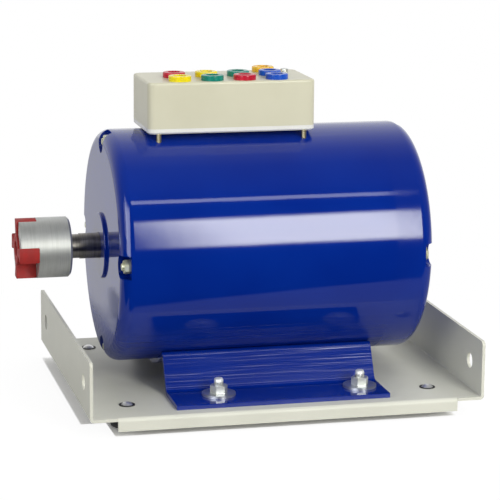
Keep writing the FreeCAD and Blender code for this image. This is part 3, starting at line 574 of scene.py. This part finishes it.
# %% Mix the two creams
def moulded(name, low, high, grain_depth, roughness):
    finish = Finish(name)
    cells = finish.node("ShaderNodeTexVoronoi", {"feature": "SMOOTH_F1"},
                        {"Vector": finish.place(), "Scale": 1 / (0.7 * MM), "Smoothness": 1.0})
    grain = finish.noise(0.5, 2.0) + 0.6 * cells
    cloud = finish.noise(30.0, 2.0, shift=(4.0, 2.0, 0.0))
    colour = finish.blend(finish.between(cloud, 0.3, 0.7, 0.0, 1.0), low, high)
    normal = finish.bump(grain, grain_depth)
    return finish.surface(base_color=colour, roughness=roughness + 0.06 * grain, normal=normal)


dress(moulded("cream_moulding", (0.625, 0.605, 0.452), (0.655, 0.635, 0.482),
              grain_depth=0.012, roughness=0.27), "terminal_box")
dress(moulded("pale_moulding", (0.78, 0.78, 0.74), (0.82, 0.82, 0.78),
              grain_depth=0.008, roughness=0.22), "terminal_box_base")

# %% [markdown]
# ## Socket heads
# Safety sockets are moulded in a glossy nylon, in one clear colour each, so that a plug goes where
# the wiring plan says. One recipe serves all five colours. A weak flow mark and a slight change of
# gloss keep the surface alive, and a little light below the skin softens the shadow side.

# %% Mix the socket colours
def socket_nylon(name, colour):
    finish = Finish(name)
    flow = finish.noise(3.0, 2.0, stretch=(1.0, 1.0, 0.3))
    dark = tuple(0.86 * c for c in colour)
    paint = finish.blend(finish.between(flow, 0.3, 0.7, 0.0, 1.0), dark, colour)
    normal = finish.bump(finish.noise(1.0, 2.0), 0.006)
    return finish.surface(base_color=paint, roughness=0.20 + 0.10 * flow, normal=normal,
                          subsurface_weight=0.15, subsurface_scale=1.5 * MM)


SOCKET_COLOURS = {
    "yellow_sockets": (0.930, 0.760, 0.006),
    "green_sockets": (0.004, 0.245, 0.185),
    "red_sockets": (0.560, 0.010, 0.035),
    "blue_sockets": (0.008, 0.090, 0.560),
    "earth_socket": (0.950, 0.560, 0.025),
}
for node_name, nylon_colour in SOCKET_COLOURS.items():
    colour_name = node_name.split("_")[0]
    dress(socket_nylon(f"{colour_name}_nylon", nylon_colour), node_name)

# %% [markdown]
# ## Plated and turned metals
# Turning leaves fine rings around the axis of the lathe, and plating follows them. For the ringed
# metals a noise is squeezed along the turning axis, so that it makes thin rings, and it changes
# both the gloss and the slope of the surface. Plated fasteners are tumbled instead, so theirs is
# an even, cloudy shine with a trace of yellow or blue where the passivation is thicker. Bolts,
# nuts and washers come from different baths, so each has its own zinc.

# %% Mix the turned metals
RINGS = {"X": (1.0, 0.02, 0.02), "Z": (0.02, 0.02, 1.0)}


def turned_metal(name, low, high, ring, depth, roughness, axis="X", metallic=1.0):
    finish = Finish(name)
    rings = finish.noise(ring, 4.0, 0.6, stretch=RINGS[axis])
    stain = finish.noise(9.0, 3.0, shift=(1.0, 7.0, 2.0))
    worn = finish.between(0.6 * rings + 0.4 * stain, 0.35, 0.65, 0.0, 1.0)
    colour = finish.blend(worn, low, high)
    normal = finish.bump(rings, depth)
    return finish.surface(base_color=colour, metallic=metallic,
                          roughness=roughness + 0.16 * rings, normal=normal)


def plated_metal(name, colour, tint, roughness, metallic=1.0):
    finish = Finish(name)
    cloud = finish.noise(2.5, 3.0)
    film = finish.noise(6.0, 1.0, shift=(5.0, 5.0, 1.0))
    paint = finish.blend(finish.between(film, 0.40, 0.70, 0.0, 1.0), colour, tint)
    normal = finish.bump(cloud, 0.012)
    return finish.surface(base_color=paint, metallic=metallic,
                          roughness=roughness + 0.14 * cloud, normal=normal)


dress(turned_metal("turned_aluminium", (0.46, 0.47, 0.45), (0.55, 0.56, 0.54),
                   ring=0.5, depth=0.004, roughness=0.36, metallic=0.7), "coupling_hub")
dress(turned_metal("browned_steel", (0.200, 0.188, 0.165), (0.350, 0.330, 0.300),
                   ring=0.7, depth=0.015, roughness=0.24),
      "shaft", "coupling_key", "coupling_set_screw")
dress(plated_metal("bright_zinc", (0.72, 0.74, 0.74), (0.70, 0.72, 0.66),
                   roughness=0.36, metallic=0.8), "saddle_nuts", "earth_screw")
dress(plated_metal("pale_zinc", (0.86, 0.88, 0.88), (0.84, 0.86, 0.82),
                   roughness=0.36, metallic=0.4), "saddle_bolts", *saddle_bolts)
dress(plated_metal("grey_zinc", (0.56, 0.58, 0.60), (0.53, 0.55, 0.55),
                   roughness=0.30, metallic=0.9), "saddle_washers")
dress(plated_metal("yellow_zinc", (0.66, 0.66, 0.46), (0.62, 0.66, 0.60),
                   roughness=0.34, metallic=0.6), "tie_bolts", "tie_bolt_nuts", *tie_bolts)
dress(plated_metal("bright_nickel", (0.78, 0.78, 0.78), (0.72, 0.73, 0.76),
                   roughness=0.26, metallic=0.8), "foot_pins")
dress(turned_metal("turned_brass", (0.50, 0.44, 0.27), (0.60, 0.53, 0.34),
                   ring=0.4, depth=0.008, roughness=0.30, axis="Z"), "box_pillars")
dress(turned_metal("contact_brass", (0.68, 0.50, 0.20), (0.80, 0.61, 0.27),
                   ring=0.3, depth=0.006, roughness=0.16, axis="Z"), "socket_contacts")
dress(turned_metal("ground_steel", (0.58, 0.59, 0.60), (0.70, 0.71, 0.72),
                   ring=0.3, depth=0.003, roughness=0.08),
      "drive_bearing_outer_ring", "drive_bearing_inner_ring", "rear_bearing_outer_ring",
      "rear_bearing_inner_ring", "drive_bearing_balls", "rear_bearing_balls")
dress(plated_metal("spring_steel", (0.48, 0.48, 0.49), (0.55, 0.54, 0.52), roughness=0.28),
      "drive_bearing_cage", "rear_bearing_cage", "preload_washer")

# %% [markdown]
# ## Rubber, and the parts inside the casing
# The feet and the bush are black rubber with a dusty bloom. Inside, the cores are stacks of thin
# sheets, so their material has half-millimetre stripes across the shaft. The windings are
# varnished copper, drawn as strands that run around the end turns, and the cage is cast aluminium.

# %% Mix the rubber and the inner finishes
def rubber(name, low, high):
    finish = Finish(name)
    bloom = finish.between(finish.noise(4.0, 4.0), 0.35, 0.75, 0.0, 1.0)
    normal = finish.bump(finish.noise(0.8, 2.0), 0.02)
    return finish.surface(base_color=finish.blend(bloom, low, high),
                          roughness=0.55 + 0.25 * bloom, normal=normal)


def stacked_sheets():
    finish = Finish("stacked_sheets")
    sheets = finish.noise(0.5, 1.0, stretch=RINGS["X"])
    stain = finish.noise(7.0, 3.0)
    colour = finish.blend(finish.between(sheets, 0.4, 0.6, 0.0, 1.0), (0.10, 0.10, 0.11),
                          (0.30, 0.30, 0.31))
    normal = finish.bump(sheets, 0.05)
    return finish.surface(base_color=colour, metallic=0.9,
                          roughness=0.38 + 0.2 * stain, normal=normal)


def wound_copper():
    finish = Finish("wound_copper")
    strands = finish.noise(1.1, 2.0, stretch=(1.0, 0.12, 0.12))
    varnish = finish.noise(6.0, 3.0)
    colour = finish.blend(finish.between(strands, 0.4, 0.6, 0.0, 1.0), (0.16, 0.035, 0.010),
                          (0.52, 0.17, 0.06))
    normal = finish.bump(strands, 0.35)
    return finish.surface(base_color=colour, metallic=0.6,
                          roughness=0.22 + 0.2 * varnish, normal=normal)


def cast_metal():
    finish = Finish("cast_cage_metal")
    skin = finish.noise(1.5, 4.0)
    colour = finish.blend(finish.between(skin, 0.35, 0.65, 0.0, 1.0), (0.38, 0.38, 0.39),
                          (0.55, 0.55, 0.56))
    return finish.surface(base_color=colour, metallic=1.0,
                          roughness=0.38 + 0.2 * skin, normal=finish.bump(skin, 0.08))


dress(rubber("black_rubber", (0.010, 0.010, 0.011), (0.030, 0.030, 0.031)),
      "rubber_feet", "lead_bush")
dress(rubber("lead_sleeving", (0.018, 0.018, 0.020), (0.045, 0.045, 0.048)), "lead_loom")
dress(stacked_sheets(), "stator_core", "rotor_core")
dress(wound_copper(), "stator_windings")
dress(cast_metal(), "rotor_cage")
dress(rubber("red_elastomer", (0.32, 0.011, 0.009), (0.39, 0.017, 0.014)),
      "coupling_spider", spider)
print(sorted(set(nodes) - finished), "are left without a finish")

# %% [markdown]
# ## Floor, background and lamps
# The motor stands on a white table in front of a white wall. One large soft box at the front
# right lights it, with a thin strip above, a weak panel at the left and pale light all round. On
# enamel the lamps matter twice: they light the colour, and they are seen in it. So each lamp has
# the place, the size and the soft edges that its image shows on the drum. Mirrors see another
# room than the eye does, as in a real studio with dark cloth and windows outside the picture: for
# them the table ends in a slanting edge in front, the room is dark there, and a tall window shows
# at the left. The eye sees a white table with the shadow under the tray.

# %% Lay the floor
FLOOR_REACH = 6.0
PAPER, BOUNCE = 0.80, 0.42
LIP_END, TRAY_END = 0.1125, 0.1290  # half the length of the lips, and of the tray
FRONT_EDGE, BACK_EDGE, CORNER_STEP = -0.0975, 0.1030, 0.031
EDGE_BLUR = 0.0015
FAINT_SHADE, FAINT_FROM, FAINT_TO = 0.07, 0.12, 0.34
TABLE_SLANT, TABLE_FRONT = 0.31, -0.160
FRONT_GLOW, BACK_GLOW = 0.40, 0.32

bpy.ops.object.select_all(action="DESELECT")
bpy.ops.mesh.primitive_plane_add(size=FLOOR_REACH, location=(0.0, 0.0, 0.0))
floor = bpy.context.object
floor.name = "studio_floor"

cover = Finish("studio_white")
to_eye = cover.node("ShaderNodeLightPath", output="Is Camera Ray")
to_mirror = cover.node("ShaderNodeLightPath", output="Is Glossy Ray")
floor_x, floor_y = cover.place().part("X"), cover.place().part("Y")
far_x = cover.node("ShaderNodeMath", {"operation": "ABSOLUTE"}, {0: floor_x})
past_lip = cover.between(far_x, LIP_END, LIP_END + 0.001, 0.0, 1.0)
under_front = cover.between(floor_y + 0.0005 - CORNER_STEP * past_lip,
                            FRONT_EDGE, FRONT_EDGE + EDGE_BLUR, 0.0, 1.0)
under_back = cover.between(floor_y, BACK_EDGE, BACK_EDGE + EDGE_BLUR, 1.0, 0.0)
under_ends = cover.between(far_x, TRAY_END, TRAY_END + EDGE_BLUR, 1.0, 0.0)
under_tray = under_front * under_back * under_ends
off_middle = (floor_x * floor_x + floor_y * floor_y) ** 0.5
faint = cover.between(off_middle, FAINT_FROM, FAINT_TO, FAINT_SHADE, 0.0)
shade_shown = faint + (1 - faint) * under_tray
white = cover.node("ShaderNodeBsdfDiffuse", sockets={"Color": (PAPER, PAPER, PAPER, 1.0)})
twice = cover.node("ShaderNodeAddShader", sockets={0: white, 1: white})
paper = cover.node("ShaderNodeEmission", sockets={"Color": (1.0, 1.0, 1.0, 1.0), "Strength": 1.0})
shown = cover.node("ShaderNodeMixShader", sockets={0: shade_shown, 1: paper, 2: twice})
bounce = cover.node("ShaderNodeBsdfDiffuse", sockets={"Color": (BOUNCE, BOUNCE, BOUNCE, 1.0)})
seen = cover.node("ShaderNodeMixShader", sockets={0: to_eye, 1: bounce, 2: shown})
table_edge = floor_y + TABLE_SLANT * floor_x
table_light = (cover.between(table_edge, TABLE_FRONT, TABLE_FRONT + 0.013, 0.0, FRONT_GLOW)
               + cover.between(floor_y, 0.05, 0.12, 0.0, BACK_GLOW))
table_colour = cover.blend(table_light, (0.0, 0.0, 0.0), (1.0, 1.0, 1.0))
glow = cover.node("ShaderNodeEmission", sockets={"Color": table_colour, "Strength": 1.0})
mirrored = cover.node("ShaderNodeMixShader", sockets={0: to_mirror, 1: seen, 2: glow})
cover.node("ShaderNodeOutputMaterial", sockets={"Surface": mirrored})
floor.data.materials.append(cover.material)
print(floor.name, "is", FLOOR_REACH, "m wide")

# %% Light the room
# Greys that mirrors see, from straight in front (0) round to straight behind (1).
ROOM_GREYS = [(0.00, 0.02), (0.16, 0.02), (0.30, 0.13), (0.50, 0.20), (0.655, 0.44),
              (0.78, 0.78), (0.88, 1.0)]
WINDOW_COLOUR = (5.0, 5.2, 5.6)

world = bpy.data.worlds.new("studio")
world.use_nodes = True
bpy.context.scene.world = world
room = Finish("studio", world.node_tree)
ray = room.node("ShaderNodeTexCoord", output="Generated")
side, behind, above = ray.part("X"), ray.part("Y"), ray.part("Z")
grey_stops = [(place, (grey, grey, grey)) for place, grey in ROOM_GREYS]
shade = room.node("ShaderNodeValToRGB", {"stops": grey_stops}, {"Fac": behind * 0.5 + 0.5})
from_left = (room.between(side, -1.0, 0.2, 1.9, 0.18, smooth=False)
             * room.between(above, 0.0, 0.7, 1.0, 0.2))
from_top = (room.between(above, 0.0, 1.0, 0.0, 1.5, smooth=False)
            * room.between(side, -0.25, 0.55, 0.0, 2.0))
across = 0.7 * side - 0.7 * behind
window_width = (room.between(across, -0.32, -0.24, 0.0, 1.0)
                * room.between(across, 0.24, 0.32, 1.0, 0.0))
window_height = (room.between(above, -0.08, 0.0, 0.0, 1.0)
                 * room.between(above, 0.62, 0.76, 1.0, 0.0))
window = window_width * window_height * room.between(side, -0.2, -0.1, 1.0, 0.0)
camera_ray = room.node("ShaderNodeLightPath", output="Is Camera Ray")
clear_ray = room.node("ShaderNodeLightPath", output="Is Transmission Ray")
glossy_ray = room.node("ShaderNodeLightPath", output="Is Glossy Ray")
even = room.blend(from_left + from_top, (0.0, 0.0, 0.0), (1.0, 1.0, 1.0))
with_window = room.blend(window, shade, WINDOW_COLOUR)
ambient = room.blend(glossy_ray, even, with_window)
eye = room.node("ShaderNodeMath", {"operation": "MAXIMUM"}, {0: camera_ray, 1: clear_ray})
sky = room.blend(eye, ambient, (1.0, 1.0, 1.0))
air = room.node("ShaderNodeBackground", sockets={"Color": sky, "Strength": 1.0})
room.node("ShaderNodeOutputWorld", sockets={"Surface": air})
print(world.name, "has", len(room.tree.nodes), "nodes")


def soft_box(name, at, towards, size_x, size_y, radiance, colour=(1.0, 1.0, 1.0),
             fade_x=0.0, fade_y=0.0):
    """A rectangular lamp whose middle is this many times as bright as white paper."""
    data = bpy.data.lights.new(name, "AREA")
    data.shape = "RECTANGLE"
    data.size, data.size_y = size_x, size_y
    data.energy = radiance * math.pi * size_x * size_y
    data.color = colour
    if fade_x or fade_y:
        data.use_nodes = True
        cloth = Finish(name, data.node_tree)
        glow = None
        for axis, fade in (("X", fade_x), ("Y", fade_y)):
            along = cloth.node("ShaderNodeNewGeometry", output="Parametric").part(axis)
            edge = cloth.node("ShaderNodeMath", {"operation": "PINGPONG"}, {0: along, 1: 0.5})
            soft = cloth.between(edge, 0.0, max(fade, 0.001), 0.0, 1.0)
            glow = soft if glow is None else glow * soft
        paint = cloth.blend(glow, (0.0, 0.0, 0.0), (1.0, 1.0, 1.0))
        light = cloth.node("ShaderNodeEmission", sockets={"Color": paint, "Strength": 1.0})
        cloth.node("ShaderNodeOutputLight", sockets={"Surface": light})
    lamp = bpy.data.objects.new(name, data)
    bpy.context.scene.collection.objects.link(lamp)
    way = Vector(towards) - Vector(at)
    lamp.matrix_world = Matrix.Translation(at) @ way.to_track_quat("-Z", "Y").to_matrix().to_4x4()
    print(name, round(data.energy, 2), "W")


SHAFT_HEIGHT = 0.103
soft_box("main_soft_box", (0.415, -1.435, 0.617), (0.08, 0.0, SHAFT_HEIGHT), 0.57, 0.85,
         radiance=14.4, colour=(1.0, 0.995, 0.94), fade_x=0.34, fade_y=0.16)
soft_box("thin_strip", (0.246, -0.95, 1.28), (0.246, 0.0, SHAFT_HEIGHT), 0.56, 0.12,
         radiance=4.6, colour=(0.92, 0.94, 1.0), fade_y=0.25)
soft_box("left_panel", (-1.10, -0.60, 0.60), (0.0, 0.0, SHAFT_HEIGHT), 0.60, 0.60, radiance=1.5)
bpy.context.scene.view_settings.view_transform = "Standard"
